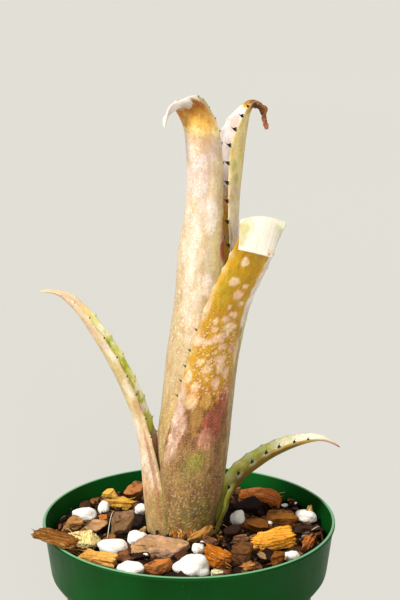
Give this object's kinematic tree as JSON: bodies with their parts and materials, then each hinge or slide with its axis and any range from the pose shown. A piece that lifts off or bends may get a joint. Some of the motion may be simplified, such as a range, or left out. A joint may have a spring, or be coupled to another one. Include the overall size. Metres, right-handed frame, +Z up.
{
  "type": "potted billbergia",
  "caption": "Small tubular bromeliad with toothed, mottled leaves, standing in a round nursery pot filled with bark chips, husk and perlite.",
  "frame": {"origin": "middle of the pot's flat underside, on the surface it stands on", "axes": "+Z up, -Y towards the front of the plant as pictured, +X to the right"},
  "size_m": [0.1082, 0.104, 0.2426],
  "materials": {
    "pot_plastic": "semi-gloss moulded",
    "mix_fines": "damp, crumbly",
    "stem": "dry, fibrous",
    "leaf_pale": "matte, scurfy, mottled",
    "leaf_olive": "matte, spotted",
    "leaf_low": "matte, banded",
    "perlite": "porous, rough",
    "husk": "fibrous",
    "bark_tan": "rough",
    "bark_brown": "rough",
    "bark_dark": "rough, damp"
  },
  "bodies": {
    "root": {"pot": "pot_plastic", "potting_mix": "mix_fines", "stem_base": "stem", "leaf_tall_left": "leaf_pale", "leaf_tall_right": "leaf_pale", "leaf_front": "leaf_olive", "leaf_low_left": "leaf_low", "leaf_low_right": "leaf_low", "perlite_left_back": "perlite", "perlite_left_small": "perlite", "perlite_behind_low_leaf": "perlite", "perlite_front_left": "perlite", "perlite_front_left_inner": "perlite", "perlite_front_rim": "perlite", "perlite_front_big": "perlite", "perlite_front_small": "perlite", "perlite_right_front": "perlite", "perlite_right_tube": "perlite", "perlite_right": "perlite", "perlite_back": "perlite", "perlite_back_left": "perlite", "husk_over_rim": "husk", "husk_cream_left": "husk", "husk_orange_front": "husk", "husk_yellow_block": "husk", "husk_orange_right": "husk", "bark_left_end": "bark_brown", "bark_tan_back_left": "bark_tan", "bark_fibrous_back_left": "bark_tan", "bark_pink_back_left": "bark_brown", "bark_upright_grey": "bark_brown", "bark_flat_pink_left": "bark_brown", "bark_tan_front_left": "bark_tan", "bark_brown_front_left": "bark_brown", "bark_flat_pink_front": "bark_brown", "bark_orange_front": "bark_tan", "bark_by_tube": "bark_tan", "bark_dark_front": "bark_dark", "bark_brown_right_front": "bark_brown", "bark_brown_diagonal": "bark_brown", "bark_dark_by_tube": "bark_dark", "bark_dark_back_right": "bark_dark", "bark_orange_back_right": "bark_tan", "bark_brown_right": "bark_brown", "bark_thin_right": "bark_dark", "bark_back_middle": "bark_brown", "bark_back_wall": "bark_tan"}
  },
  "joints": []
}
